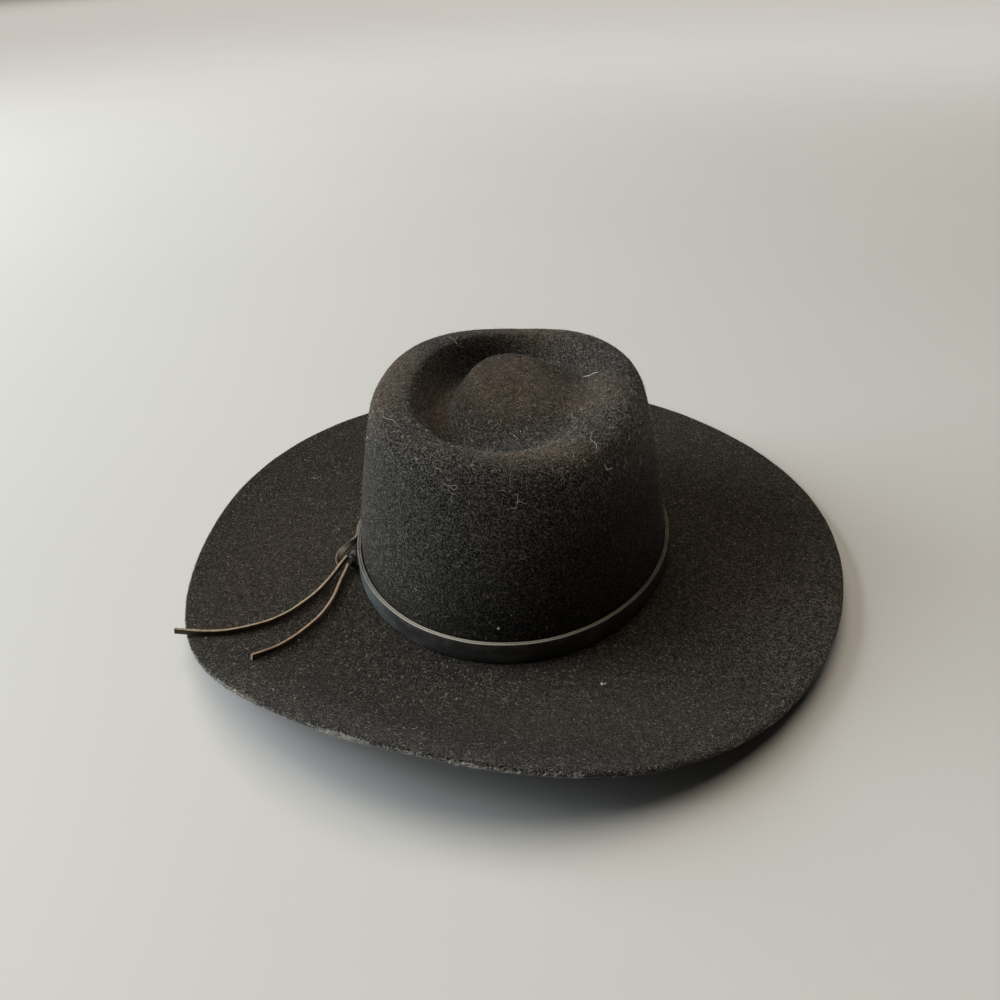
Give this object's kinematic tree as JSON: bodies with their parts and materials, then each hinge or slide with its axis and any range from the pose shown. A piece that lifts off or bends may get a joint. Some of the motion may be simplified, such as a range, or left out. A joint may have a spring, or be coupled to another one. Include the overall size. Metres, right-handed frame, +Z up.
{
  "type": "felt cowboy hat",
  "caption": "Black felt cowboy hat: telescope-creased crown, wide brim turned up at the back, thin leather band tied at the side in a knot with loose thong ends.",
  "frame": {"origin": "under the middle of the brim's outline, on the surface that the brim's flat seat rests on", "axes": "+X to the wearer's right, +Y to the front of the hat, +Z up through the crown"},
  "size_m": [0.3604, 0.394, 0.1045],
  "materials": {
    "felt": "matte wool felt with short fuzz and pale lint",
    "band_leather": "smooth black leather with a raw pale edge",
    "thong_leather": "thin black thong with pale tan raw edges"
  },
  "bodies": {
    "root": {"felt_body": "felt", "hat_band": "band_leather", "tie_knot": "thong_leather", "tie_loop": "thong_leather", "long_tail": "thong_leather", "short_tail": "thong_leather"}
  },
  "joints": []
}
